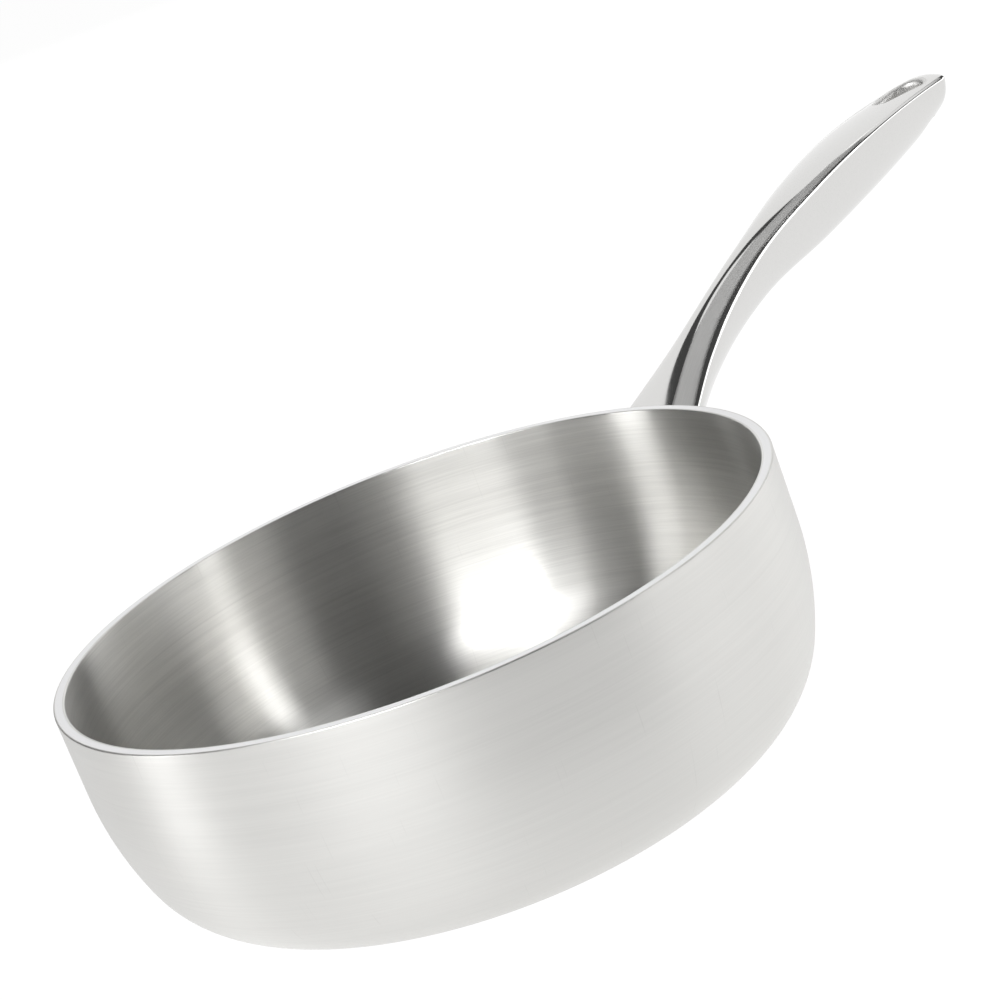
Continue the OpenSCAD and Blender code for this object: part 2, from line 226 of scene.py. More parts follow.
class SaucierHandle(bpy.types.PropertyGroup):
    """Sizes of the hollow handle."""

    reach: FloatProperty(
        name="Reach", description="Reach of the handle beyond the wall",
        default=TIP_X - WALL_RADIUS, subtype="DISTANCE", unit="LENGTH")
    root_height: FloatProperty(
        name="Root height", description="Height of the top line where it meets the wall",
        default=58 * MM, subtype="DISTANCE", unit="LENGTH")
    crest_rise: FloatProperty(
        name="Crest rise", description="Rise of the top line from the wall to its crest",
        default=39.4 * MM, subtype="DISTANCE", unit="LENGTH")
    crest_at: FloatProperty(
        name="Crest", description="Place of the crest, as a share of the reach",
        default=0.93, subtype="FACTOR", min=0.5, max=1)
    arch_power: FloatProperty(
        name="Arch", description="Fullness of the arch, where 2 is a plain parabola",
        default=2.2, min=1.5, max=3)
    widths: FloatVectorProperty(
        name="Widths", description="Widths at the foot, throat, neck, palm, grip and tip",
        size=6, default=(0.032, 0.0168, 0.0114, 0.0162, 0.0192, 0.0155), unit="LENGTH")
    depths: FloatVectorProperty(
        name="Depths", description="Depths at the foot, throat, neck, palm, grip and tip",
        size=6, default=(0.0168, 0.0142, 0.0154, 0.0192, 0.0182, 0.0117), unit="LENGTH")
    facets: FloatVectorProperty(
        name="Facet widths",
        description="Widths of the linished facet at the foot, throat, neck, palm, grip and tip",
        size=6, default=(0.0088, 0.0062, 0.0036, 0.0025, 0.0013, 0.001), unit="LENGTH")
    facet_slope: FloatProperty(
        name="Facet slope", description="Slope of the facets, from level",
        default=radians(40), subtype="ANGLE", unit="ROTATION")
    crown: FloatProperty(
        name="Crown", description="Height of the crown across the top face",
        default=1.2 * MM, subtype="DISTANCE", unit="LENGTH")
    tip_round: FloatProperty(
        name="Tip round", description="Length of the rounded end in plan",
        default=6 * MM, subtype="DISTANCE", unit="LENGTH")
    nose_length: FloatProperty(
        name="Nose length", description="Length over which the underside rises to the tip",
        default=24 * MM, subtype="DISTANCE", unit="LENGTH")
    nose_share: FloatProperty(
        name="Nose share", description="Share of the tip's depth that is left at its very end",
        default=0.6, subtype="FACTOR", min=0, max=1)
    brow_drop: FloatProperty(
        name="Brow drop", description="Drop of the top face where it rounds over into the nose",
        default=1.8 * MM, subtype="DISTANCE", unit="LENGTH")
    brow_length: FloatProperty(
        name="Brow length", description="Length over which the top face rounds over",
        default=4.75 * MM, subtype="DISTANCE", unit="LENGTH")
    sheet: FloatProperty(
        name="Sheet", description="Thickness of the two pressed shells",
        default=1.5 * MM, subtype="DISTANCE", unit="LENGTH")
    seam: FloatProperty(
        name="Seam", description="Width of the ground weld along each side",
        default=0.7 * MM, subtype="DISTANCE", unit="LENGTH")
    top_edge: FloatProperty(
        name="Top edge", description="How far the facet's upper edge is rounded into the top face",
        default=1.1 * MM, subtype="DISTANCE", unit="LENGTH")
    low_edge: FloatProperty(
        name="Lower edge", description="How far the facet's lower edge is rounded into the belly",
        default=3 * MM, subtype="DISTANCE", unit="LENGTH")
    vent: FloatProperty(
        name="Vent", description="Diameter of the vent hole under the throat",
        default=2 * MM, subtype="DISTANCE", unit="LENGTH")
    slot_length: FloatProperty(
        name="Slot length", description="Length of the teardrop hang slot",
        default=20 * MM, subtype="DISTANCE", unit="LENGTH")
    slot_width: FloatProperty(
        name="Slot width", description="Width of the slot at its round end",
        default=9 * MM, subtype="DISTANCE", unit="LENGTH")
    slot_point: FloatProperty(
        name="Slot point", description="Width of the slot at its narrow end",
        default=3 * MM, subtype="DISTANCE", unit="LENGTH")
    slot_gap: FloatProperty(
        name="Slot gap", description="Metal between the slot and the tip",
        default=8.5 * MM, subtype="DISTANCE", unit="LENGTH")
    sleeve: FloatProperty(
        name="Sleeve",
        description="Wall of the sleeve round the slot, which is also its lower lip's radius",
        default=1 * MM, subtype="DISTANCE", unit="LENGTH")
    slot_lip: FloatProperty(
        name="Slot lip", description="Radius of the slot's upper lip",
        default=1.8 * MM, subtype="DISTANCE", unit="LENGTH")
    foot_offset: FloatProperty(
        name="Foot offset",
        description="Distance from the pan's wall to the face that the foot stands on",
        default=1.8 * MM, subtype="DISTANCE", unit="LENGTH")
    fillet: FloatProperty(
        name="Fillet", description="Leg of the fillet weld round the foot",
        default=1.2 * MM, subtype="DISTANCE", unit="LENGTH")
    rings: IntProperty(
        name="Rings", description="Count of cross sections along the handle",
        default=150, min=20, max=400)


class SaucierStage(bpy.types.PropertyGroup):
    """Floor, lamps and camera."""

    floor_size: FloatProperty(
        name="Floor size", description="Side of the floor",
        default=30, subtype="DISTANCE", unit="LENGTH")
    camera_place: FloatVectorProperty(
        name="Camera place", description="Where the camera stands",
        size=3, default=(-0.4002, -0.4770, 0.2540), subtype="XYZ", unit="LENGTH")
    camera_aim: FloatVectorProperty(
        name="Camera aim", description="Point at the middle of the picture",
        size=3, default=(0.0211, -0.0159, 0.0706), subtype="XYZ", unit="LENGTH")
    camera_roll: FloatProperty(
        name="Camera roll", description="Turn of the camera about its own line of sight",
        default=radians(-20.706), subtype="ANGLE", unit="ROTATION")
    camera_lens: FloatProperty(
        name="Lens", description="Focal length in millimetres, on a 36 mm sensor",
        default=95.84, min=10, max=300)


class Shade:
    """A socket's output, on which Python's own signs add Math nodes."""

    def __init__(self, finish, socket):
        self.finish = finish
        self.socket = socket

    def maths(self, operation, *values):
        settings = {"operation": operation}
        return self.finish.node("ShaderNodeMath", settings, dict(enumerate(values)))

    def __add__(self, other):
        return self.maths("ADD", self, other)

    __radd__ = __add__

    def __sub__(self, other):
        return self.maths("SUBTRACT", self, other)

    def __rsub__(self, other):
        return self.maths("SUBTRACT", other, self)

    def __mul__(self, other):
        return self.maths("MULTIPLY", self, other)

    __rmul__ = __mul__

    def __truediv__(self, other):
        return self.maths("DIVIDE", self, other)

    def __pow__(self, other):
        return self.maths("POWER", self, other)

    def __abs__(self):
        return self.maths("ABSOLUTE", self)

    def clamp(self):
        """The value kept between 0 and 1."""
        settings = {"operation": "ADD", "use_clamp": True}
        return self.finish.node("ShaderNodeMath", settings, {0: self, 1: 0.0})


class Finish:
    """The nodes of a material, or of the world, in the making."""

    def __init__(self, block):
        block.use_nodes = True
        self.block = block
        self.tree = block.node_tree
        self.tree.nodes.clear()

    def place(self):
        """Place on the piece, in metres of the frame."""
        return self.node("ShaderNodeTexCoord", output=3)

    def node(self, kind, settings=None, inputs=None, output=0):
        """Adds a node: its settings first, then the values or links of its sockets."""
        made = self.tree.nodes.new(kind)
        for name, value in (settings or {}).items():
            setattr(made, name, value)
        for name, value in (inputs or {}).items():
            if isinstance(value, Shade):
                self.tree.links.new(value.socket, made.inputs[name])
            else:
                made.inputs[name].default_value = value
        return Shade(self, made.outputs[output]) if made.outputs else made

    def xyz(self, vector):
        """The three parts of a vector."""
        split = self.node("ShaderNodeSeparateXYZ", inputs={0: vector}).socket.node
        return [Shade(self, socket) for socket in split.outputs]

    def vector(self, x, y, z):
        return self.node("ShaderNodeCombineXYZ", inputs={0: x, 1: y, 2: z})

    def noise(self, vector, scale, detail=2.0, roughness=0.5):
        """Smooth noise from 0 to 1."""
        inputs = {"Vector": vector, "Scale": scale, "Detail": detail, "Roughness": roughness}
        return self.node("ShaderNodeTexNoise", inputs=inputs)

    def mix(self, factor, one, other):
        """Colour between one and the other."""
        settings = {"data_type": "RGBA"}
        return self.node("ShaderNodeMix", settings, {0: factor, 6: one, 7: other}, output=2)

    def shades(self, factor, colour, dark, light):
        """The colour between two levels of itself."""
        return self.mix(factor, rgba(colour, dark), rgba(colour, light))

    def between(self, value, low, high, to_low=0.0, to_high=1.0):
        """The value taken smoothly from one range to another."""
        settings = {"interpolation_type": "SMOOTHSTEP"}
        inputs = {0: value, 1: low, 2: high, 3: to_low, 4: to_high}
        return self.node("ShaderNodeMapRange", settings, inputs)

    def bump(self, height, distance):
        return self.node("ShaderNodeBump", inputs={"Height": height, "Distance": distance})

    def metal(self, **inputs):
        """Ends the material in a metal with these sockets."""
        sockets = {"Metallic": 1.0}
        sockets.update({name.replace("_", " ").title(): value for name, value in inputs.items()})
        self.end(self.node("ShaderNodeBsdfPrincipled", inputs=sockets))
        return self.block

    def end(self, shader):
        self.node("ShaderNodeOutputMaterial", inputs={"Surface": shader})


def rgba(colour, level):
    """The colour at this level, as a socket takes it."""
    return (*(channel * level for channel in colour), 1.0)


def swing(noise, size):
    """Noise about 0, drawn out to this size."""
    return size * (noise - 0.5)


def axis_distance(x, y):
    """Distance from the pan's axis, a little above 0 so that it can be divided by."""
    return (x * x + y * y) ** 0.5 + 1e-6


def brushed_round(name, colour, roughness, brushing, strength, look):
    """Steel brushed round the pan's axis, with fine lines, broad streaks and scratches across them."""
    f = Finish(bpy.data.materials.new(name))
    place = f.place()
    x, y, z = f.xyz(place)
    radius = axis_distance(x, y)
    # Distance along the wall's section, which only grows from the base to the rim
    run = radius + z

    def lines(length, width, detail, mottle):
        """Noise with cells of this length round the pan and this width across."""
        turns = WALL_RADIUS / length
        way = f.vector(x / radius * turns, y / radius * turns, run / width)
        return f.noise(way, 1.0, detail, mottle)

    fine = lines(look.grain_length, look.grain_width, detail=3.0, mottle=0.6)
    broad = lines(3 * look.grain_length, 4 * look.grain_width, detail=2.0, mottle=0.6)
    clouds = f.noise(place, CLOUDS)
    nicks = lines(SCRATCH_WIDTH, SCRATCH_LENGTH, detail=1.0, mottle=0.5)
    scratch = f.between(nicks, *SCRATCH_RANGE)
    ring = 1.0 - f.between(abs(z - (RIM_HEIGHT - RING_DEPTH)), *RING_RANGE)
    # What each of them adds to the steel's level, and to its roughness, as shares of the strength
    tone = swing(fine, 2.2) + swing(broad, 1.6) + swing(clouds, 0.8) - 0.5 * ring
    shade = f.shades((0.5 + tone).clamp(), colour, 1 - strength, 1 + strength)
    shade = f.mix(look.wear * scratch, shade, rgba(colour, SCRATCH_LEVEL))
    rough = roughness + strength * (swing(fine, 1.0) + swing(broad, 0.8) + swing(clouds, 0.4))
    return f.metal(
        base_color=shade, roughness=rough.clamp(), anisotropic=brushing,
        anisotropic_rotation=ACROSS, normal=f.bump(fine, 0.006 * MM))


def ground_edge(name, colour):
    """Aluminium of the core, ground flush with the rim."""
    f = Finish(bpy.data.materials.new(name))
    x, y, _ = f.xyz(f.place())
    radius = axis_distance(x, y)
    way = f.vector(x / radius * EDGE_TURNS, y / radius * EDGE_TURNS, radius / EDGE_WIDTH)
    rings = f.noise(way, 1.0)
    shade = f.shades(rings, colour, dark=0.93, light=1.03)
    return f.metal(base_color=shade, roughness=0.3 + 0.12 * rings, normal=f.bump(rings, 0.01 * MM))


def handle_steel(name, colour, look):
    """Mirror polish that turns into lengthwise belt lines where the piece's facet mask says so."""
    f = Finish(bpy.data.materials.new(name))
    place = f.place()
    facet, along, across = (
        f.node("ShaderNodeAttribute", {"attribute_name": part}, output=2)
        for part in ("facet", "along", "across"))
    waves = f.noise(place, WAVES, detail=1.0)
    haze = f.noise(place, HAZE, detail=3.0, roughness=0.65)
    way = f.vector(along / BELT_LENGTH, across / BELT_WIDTH, 0.0)
    grain = f.noise(way, 1.0, detail=3.0, roughness=0.6)
    ground = f.between(facet + swing(grain, 0.15), *BELT_RANGE)
    gloss = f.shades(haze, colour, dark=0.97, light=1.03)
    satin = f.shades(grain, colour, dark=0.78, light=1.0)
    polish = look.polish_roughness + swing(haze, 0.04)
    rough = polish + ground * (look.facet_roughness - look.polish_roughness + swing(grain, 0.2))
    # In millimetres: soft waves all over, and the belt's scratches
    height = 0.04 * waves + ground * grain * 0.012
    return f.metal(
        base_color=f.mix(ground, gloss, satin), roughness=rough.clamp(), normal=f.bump(height, MM))


def weld_steel(name, colour):
    """Steel that was welded and then ground and polished by hand."""
    f = Finish(bpy.data.materials.new(name))
    place = f.place()
    lumps = f.noise(place, LUMPS)
    marks = f.noise(place, GRIND_MARKS)
    shade = f.shades(lumps, colour, dark=0.88, light=1.02)
    return f.metal(
        base_color=shade, roughness=0.22 + 0.14 * marks, normal=f.bump(lumps, 0.08 * MM))


def slot_steel(name, colour):
    """Bright steel of the slot's wall, less finely polished than the handle round it."""
    f = Finish(bpy.data.materials.new(name))
    place = f.place()
    grain = f.noise(place, SLOT_GRAIN, detail=3.0, roughness=0.6)
    shade = f.shades(f.noise(place, SLOT_PATCHES), colour, dark=1.0, light=1.2)
    return f.metal(
        base_color=shade, roughness=0.42 + 0.14 * grain, normal=f.bump(grain, 0.008 * MM))


def finish(name):
    """The material of this name, which is made on first use."""
    look = bpy.context.scene.saucier_finish
    makers = {
        "brushed_liner": lambda: brushed_round(
            name, look.steel, look.liner_roughness, look.liner_brushing, look.liner_grain, look),
        "brushed_shell": lambda: brushed_round(
            name, look.steel, look.shell_roughness, look.shell_brushing, look.shell_grain, look),
        "core_edge": lambda: ground_edge(name, look.aluminium),
        "handle_steel": lambda: handle_steel(name, look.polished, look),
        "slot_steel": lambda: slot_steel(name, look.polished),
        "foot_weld": lambda: weld_steel(name, look.steel),
    }
    return bpy.data.materials.get(name) or makers[name]()


def dress(node, name):
    """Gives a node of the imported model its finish."""
    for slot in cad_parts[node].material_slots:
        slot.material = finish(name)


def curve_value(places, values, t):
    """Value at t of the smooth curve that takes these values at these places."""
    spans = list(zip(places, places[1:], values, values[1:]))
    grades = [(b - a) / (q - p) for p, q, a, b in spans]
    bends = [grades[0]] + [(g + h) / 2 for g, h in zip(grades, grades[1:])] + [grades[-1]]
    i = max(k for k, span in enumerate(spans) if k == 0 or t > span[0])
    p, q, a, b = spans[i]
    u = (t - p) / (q - p)
    rest = 1 - u
    return (
        a * (1 + 2 * u) * rest ** 2 + bends[i] * (q - p) * u * rest ** 2
        + b * u ** 2 * (3 - 2 * u) - bends[i + 1] * (q - p) * u ** 2 * rest)


def spaced(start, end, steps):
    """Evenly spaced values from start to end."""
    return [start + (end - start) * k / steps for k in range(steps + 1)]


def settle(u):
    """Smooth step from 0 to 1 as u goes from 0 to 1."""
    u = min(max(u, 0), 1)
    return u * u * (3 - 2 * u)


def round_off(u, length):
    """Quarter round that closes over the length at the distance u from the end."""
    return 1 if u >= length else sqrt(max(0, 1 - (1 - u / length) ** 2))


def blend_corner(p, p_way, q, q_way, steps):
    """Curve from p, leaving along p_way, to q, arriving along q_way."""
    corner = p + p_way * ((q - p).cross(q_way) / p_way.cross(q_way))
    return [p.lerp(corner, s).lerp(corner.lerp(q, s), s) for s in spaced(0, 1, steps)]


class HandleForm:
    """Cross sections of the handle, from its foot on the weld plate to its tip."""

    # Steps over half the crown, round an edge of the facet, under half the belly and round the slot's end
    CROWN_STEPS = 14
    EDGE_STEPS = 6
    BELLY_STEPS = 22
    SLOT_STEPS = 32
    # Shares of the reach over which sections turn square to the top line, and the foot's bend fades
    LEAN_RUN = 0.25
    SAG_RUN = 0.12
    # The upper edge is rounded more beyond this share of the reach: over what run, and by how much
    SOFT_FROM = 0.5
    SOFT_RUN = 0.4
    SOFT_GAIN = 2
    # Most of the crown's half width that its round takes
    CROWN_SHARE = 0.45
    # How far a round goes onto the facet: a share of its size, or of what the weld leaves, if less
    FACET_SHARE = 0.7
    SPARE_SHARE = 0.9
    # Most of the facet, to either side of its middle, that the weld takes
    SEAM_SHARE = 0.25
    # Sections closer to the tip's point than this closing share have no rounds
    CLOSED = 0.01
    # How much the sections crowd towards the tip, where 1 is even
    CROWDING = 1.5

    def __init__(self, sizes):
        self.sizes = sizes
        self.face_radius = WALL_RADIUS + sizes.foot_offset
        self.foot_t = sizes.foot_offset / sizes.reach

    def top(self, t):
        h = self.sizes
        return h.root_height + h.crest_rise * (
            1 - (abs(h.crest_at - t) / h.crest_at) ** h.arch_power)

    def tilt(self, t):
        """Lean of the section at t, which turns square to the top line beyond the foot."""
        h = self.sizes
        gap = h.crest_at - t
        grade = h.crest_rise * h.arch_power / h.crest_at / h.reach
        slope = grade * (abs(gap) / h.crest_at) ** (h.arch_power - 1)
        return atan(slope if gap > 0 else -slope) * settle(t / self.LEAN_RUN)

    def sink(self, t, inset):
        """Drop of the section at t, where the top rounds over into the nose."""
        h = self.sizes
        u = h.reach * (1 - t) - inset
        return (h.brow_drop - inset) * (1 - round_off(u, h.brow_length - inset))

    def measures(self, t, inset):
        """Half width, top corner, facet's lower corner, belly's depth, crown and closing share."""
        h = self.sizes
        u = h.reach * (1 - t)
        width = curve_value(STATIONS, h.widths, t) / 2
        facet = curve_value(STATIONS, h.facets, t)
        close = round_off(u - inset, h.tip_round - inset)
        nose = h.nose_share + (1 - h.nose_share) * round_off(u - inset, h.nose_length - inset)
        half = (width - inset) * close
        ledge = facet * cos(h.facet_slope) + inset * tan(h.facet_slope / 2)
        corner = half * (width - ledge) / (width - inset)
        facet_z = -facet * sin(h.facet_slope) - inset * tan(pi / 4 - h.facet_slope / 2)
        floor_z = inset - curve_value(STATIONS, h.depths, t) * nose
        return half, corner, facet_z, floor_z, h.crown * close, close

    def seam_shares(self, t):
        """Shares of the facet at which the ground weld starts and ends."""
        facet = curve_value(STATIONS, self.sizes.facets, t)
        spread = min(self.SEAM_SHARE, self.sizes.seam / 2 / facet)
        return 0.5 - spread, 0.5 + spread

    def half_outline(self, t, inset, rounded):
        """Right half of a section in three stretches: crown to weld, weld, and weld to keel."""
        h = self.sizes
        half, corner, facet_z, floor_z, crown, close = self.measures(t, inset)
        top, low = Vector((corner, -inset)), Vector((half, facet_z))
        start, end = (top.lerp(low, share) for share in self.seam_shares(t))
        way = (low - top).normalized() if close else Vector((0, -1))
        spare = (start - top).length * self.SPARE_SHARE
        soft = h.top_edge * (1 + self.SOFT_GAIN * settle((t - self.SOFT_FROM) / self.SOFT_RUN))
        crown_gap = min(soft * close, self.CROWN_SHARE * corner) if rounded else 0
        top_gap = min(h.top_edge * self.FACET_SHARE, spare)
        low_gap = min(h.low_edge * self.FACET_SHARE, spare)
        turn = h.low_edge / (facet_z - floor_z) if rounded else 0

        def crown_at(x):
            return Vector((x, crown * (1 - (x / corner) ** 2) - inset if corner else crown - inset))

        def belly_at(a):
            return Vector((half * cos(a), facet_z + (floor_z - facet_z) * sin(a)))

        last = corner - crown_gap
        upper = [crown_at(x) for x in spaced(0, last, self.CROWN_STEPS)]
        lower = [belly_at(a) for a in spaced(turn, pi / 2, self.BELLY_STEPS)]
        if rounded and close > self.CLOSED:
            crown_way = Vector((1, -2 * crown * last / corner ** 2)).normalized()
            belly_way = Vector((-half * sin(turn), (floor_z - facet_z) * cos(turn))).normalized()
            upper[-1:] = blend_corner(upper[-1], crown_way, top + way * top_gap, way, self.EDGE_STEPS)
            lower[:1] = blend_corner(low - way * low_gap, way, lower[0], belly_way, self.EDGE_STEPS)
        elif rounded:
            upper[-1:] = [upper[-1]] * (self.EDGE_STEPS + 1)
            lower[:1] = [lower[0]] * (self.EDGE_STEPS + 1)
        drop = Vector((0, self.sink(t, inset)))
        return [[p - drop for p in part] for part in (upper + [start], [start, end], [end] + lower)]

    def outline(self, t, inset, rounded, stretch):
        """One stretch of the section: 0 over the crown, 1 down the right weld, 2 under the belly."""
        right = self.half_outline(t, inset, rounded)[stretch]
        mirrored = [Vector((-p.x, p.y)) for p in reversed(right)]
        if stretch == 0:
            return right[::-1] + mirrored[::-1][1:]
        return right + mirrored[1:] if stretch == 2 else right

    def loop(self, t, inset, rounded):
        """The whole section as one closed row."""
        upper, lower = (self.outline(t, inset, rounded, stretch) for stretch in (0, 2))
        return upper + lower[::-1]

    def spot(self, point, t):
        """Section point at t in space: round the pan at the foot, square to the top line beyond it."""
        h = self.sizes
        lean = self.tilt(t)
        sag = self.face_radius - sqrt(self.face_radius ** 2 - point.x ** 2)
        sag *= 1 - settle((t - self.foot_t) / self.SAG_RUN)
        x = WALL_RADIUS + h.reach * t - point.y * sin(lean) - sag
        return Vector((x, point.x, self.top(t) + point.y * cos(lean)))

    def places(self, inset):
        """Places of the sections, closer together towards the tip."""
        h = self.sizes
        length = h.reach - h.foot_offset - inset
        shares = [(1 - u) ** self.CROWDING for u in spaced(0, 1, h.rings)]
        return [1 - (inset + length * share) / h.reach for share in shares]

    def height(self, x, y, stretch):
        """Height of the top (stretch 0) or belly (2) near the tip, where the sections stand upright."""
        t = (x - WALL_RADIUS) / self.sizes.reach
        points = self.half_outline(t, 0, True)[stretch]
        if stretch:
            points = points[::-1]
        q, r = next((q, r) for q, r in zip(points, points[1:]) if r.x >= abs(y))
        return self.top(t) + q.y + (r.y - q.y) * (abs(y) - q.x) / (r.x - q.x)

    def slot_outline(self, grown):
        """Outline of the hang slot grown by a distance, with its round end towards the tip."""
        h = self.sizes
        steps = self.SLOT_STEPS
        big = h.slot_width / 2 + grown
        small = h.slot_point / 2 + grown
        run = h.slot_length - (h.slot_width + h.slot_point) / 2
        lean = acos((big - small) / run)
        middle = TIP_X - h.slot_gap - h.slot_width / 2
        wide = [(pi - lean) * (2 * k / steps - 1) for k in range(steps + 1)]
        slim = [pi + lean * (4 * k / steps - 1) for k in range(steps // 2 + 1)]
        return (
            [Vector((middle + big * cos(a), big * sin(a))) for a in wide]
            + [Vector((middle - run + small * cos(a), small * sin(a))) for a in slim])


def add_object(name, data):
    """A new object in the scene."""
    made = bpy.data.objects.new(name, data)
    bpy.context.scene.collection.objects.link(made)
    return made


def add_piece(name, bm):
    """Turns a bmesh into an object."""
    mesh = bpy.data.meshes.new(name)
    bm.to_mesh(mesh)
    bm.free()
    return add_object(name, mesh)


def only(kind, elements):
    """The vertices, edges or faces among these elements."""
    return [element for element in elements if isinstance(element, kind)]


def blank():
    """An empty bmesh with the layers that the handle's pieces carry."""
    bm = bmesh.new()
    bm.verts.layers.int.new("place")
    for part in ("facet", "along", "across"):
        bm.verts.layers.float.new(part)
    return bm


def loft(bm, rings):
    """Closed rings of points, skinned one to the next. Returns their rows of vertices."""
    place = bm.verts.layers.int["place"]
    row = [bm.verts.new(point) for point in rings[0]]
    for k, vert in enumerate(row):
        vert[place] = k
    edges = [bm.edges.new(pair) for pair in zip(row, row[1:] + row[:1])]
    rows = [row]
    for ring in rings[1:]:
        made = bmesh.ops.extrude_edge_only(bm, edges=edges)["geom"]
        row = sorted(only(bmesh.types.BMVert, made), key=lambda vert: vert[place])
        edges = [edge for edge in only(bmesh.types.BMEdge, made) if edge.is_boundary]
        for vert, point in zip(row, ring):
            vert.co = point
        rows.append(row)
    return rows


def finished(bm, name, material, replaced):
    """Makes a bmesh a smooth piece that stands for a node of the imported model."""
    bmesh.ops.remove_doubles(bm, verts=bm.verts, dist=ONE_POINT)
    bmesh.ops.recalc_face_normals(bm, faces=bm.faces)
    if "place" in bm.verts.layers.int:
        bm.verts.layers.int.remove(bm.verts.layers.int["place"])
    for face in bm.faces:
        face.smooth = True
    piece = add_piece(name, bm)
    piece.data.materials.append(finish(material))
    piece.data.set_sharp_from_angle(angle=SHARP_ANGLE)
    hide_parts(replaced)
    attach(piece, "root")
    return piece


def cut_away(piece, outline, low, high):
    """Cuts a straight hole of this outline through a piece."""
    bm = bmesh.new()
    face = bm.faces.new([bm.verts.new((p.x, p.y, low)) for p in outline])
    made = bmesh.ops.extrude_face_region(bm, geom=[face])["geom"]
    bmesh.ops.translate(bm, vec=(0, 0, high - low), verts=only(bmesh.types.BMVert, made))
    bmesh.ops.recalc_face_normals(bm, faces=bm.faces)
    cutter = add_piece("cutter", bm)
    hole = piece.modifiers.new("hole", "BOOLEAN")
    hole.operation = "DIFFERENCE"
    hole.solver = "EXACT"
    hole.object = cutter
    shown = piece.evaluated_get(bpy.context.evaluated_depsgraph_get())
    cut = bpy.data.meshes.new_from_object(shown)
    piece.modifiers.clear()
    # The cut leaves many-sided faces with points in a row, which would become triangles of no area
    bm = bmesh.new()
    bm.from_mesh(cut)
    bmesh.ops.triangulate(bm, faces=[face for face in bm.faces if len(face.verts) > 4])
    bmesh.ops.dissolve_degenerate(bm, dist=ONE_POINT, edges=bm.edges)
    bm.to_mesh(cut)
    bm.free()
    spare = (piece.data, cutter.data)
    piece.data = cut
    cut.name = piece.name
    bpy.data.objects.remove(cutter)
    for mesh in spare:
        bpy.data.meshes.remove(mesh)


def cap(bm, row, outer):
    """Closes a ring that runs out along an outer row of points and back along an inner one."""
    parts = (row[:outer], row[outer:])
    edges = [bm.edges.get(pair) for part in parts for pair in zip(part, part[1:])]
    bmesh.ops.bridge_loops(bm, edges=edges)


def mark_facets(bm, form, rows, stretch):
    """Gives the outer vertices their place along and across the facet, and its mask."""
    facet, along, across = (bm.verts.layers.float[part] for part in ("facet", "along", "across"))
    start = bpy.context.scene.saucier_finish.facet_end - BELT_FADE
    # Points in from each weld that the belt reached: round the upper edge, and short of the lower one
    reach = 5 if stretch == 0 else 3
    for t, row in zip(form.places(0), rows):
        points = form.outline(t, 0, True, stretch)
        ground = 1 - settle((t - start) / BELT_FADE)
        for k, (vert, point) in enumerate(zip(row, points)):
            ends = min(k, len(points) - 1 - k)
            vert[along] = form.sizes.reach * t
            vert[across] = point.y
            vert[facet] = ground * max(0, min(1, (reach - ends) / 2))


def shell_piece(name, stretch):
    """Builds one stretch of the handle as a closed sheet with the hang slot cut through it."""
    form = HandleForm(bpy.context.scene.saucier_handle)
    sheet = form.sizes.sheet
    rings = [
        [form.spot(p, t) for p in form.outline(t, 0, True, stretch)]
        + [form.spot(p, s) for p in reversed(form.outline(s, sheet, False, stretch))]
        for t, s in zip(form.places(0), form.places(sheet))]
    outer = len(form.outline(form.foot_t, 0, True, stretch))
    bm = blank()
    rows = loft(bm, rings)
    mark_facets(bm, form, rows, stretch)
    cap(bm, rows[0], outer)
    piece = finished(bm, "steel_" + name, "handle_steel", name)
    lip = form.sizes.sleeve if stretch else form.sizes.slot_lip
    cut_away(piece, form.slot_outline(lip), 0, 2 * RIM_HEIGHT)
    return piece


def body_section(depth):
    """Half section of the body's outer form moved in by a depth, from the axis up to the rim."""
    b = bpy.context.scene.saucier_body
    bow_z = RIM_HEIGHT - b.straight
    bow_x = WALL_RADIUS - b.bow
    lean = asin((bow_z - b.corner) / (b.bow - b.corner))
    base = bow_x + (b.bow - b.corner) * cos(lean)

    def arc(x, z, radius, start, end, steps):
        turns = spaced(start, end, steps)
        return [Vector((x + radius * cos(a), 0, z + radius * sin(a))) for a in turns]

    points = [Vector((0, 0, depth)), Vector((base / 2, 0, depth))]
    points += arc(base, b.corner, b.corner - depth, -pi / 2, -lean, CORNER_STEPS)
    points += arc(bow_x, bow_z, b.bow - depth, -lean, 0, BOW_STEPS)[1:]
    rises = spaced(0, b.straight, BAND_STEPS)[1:]
    return points + [Vector((WALL_RADIUS - depth, 0, bow_z + rise)) for rise in rises]


def ply_piece(name, outside, thickness, material, rounded=0):
    """Spins one ply. Rounded is 1 for an outer edge ground off at the rim, and -1 for an inner one."""
    b = bpy.context.scene.saucier_body
    outer, inner = body_section(outside), body_section(outside + thickness)
    turns = spaced(0, pi / 2, RIM_STEPS)
    soft = b.rim_edge
    if rounded > 0:
        corner = outer[-1]
        outer[-1:] = [corner + Vector((cos(a) - 1, 0, sin(a) - 1)) * soft for a in turns]
    elif rounded < 0:
        corner = inner[-1]
        inner[-1:] = [corner + Vector((1 - cos(a), 0, sin(a) - 1)) * soft for a in turns]
    bm = bmesh.new()
    row = [bm.verts.new(point) for point in outer + inner[::-1]]
    edges = [bm.edges.new(pair) for pair in zip(row, row[1:])]
    bmesh.ops.spin(
        bm, geom=row + edges, cent=(0, 0, 0), axis=(0, 0, 1), dvec=(0, 0, 0),
        angle=2 * pi, steps=b.steps, use_merge=True)
    return finished(bm, "steel_" + name, material, name)


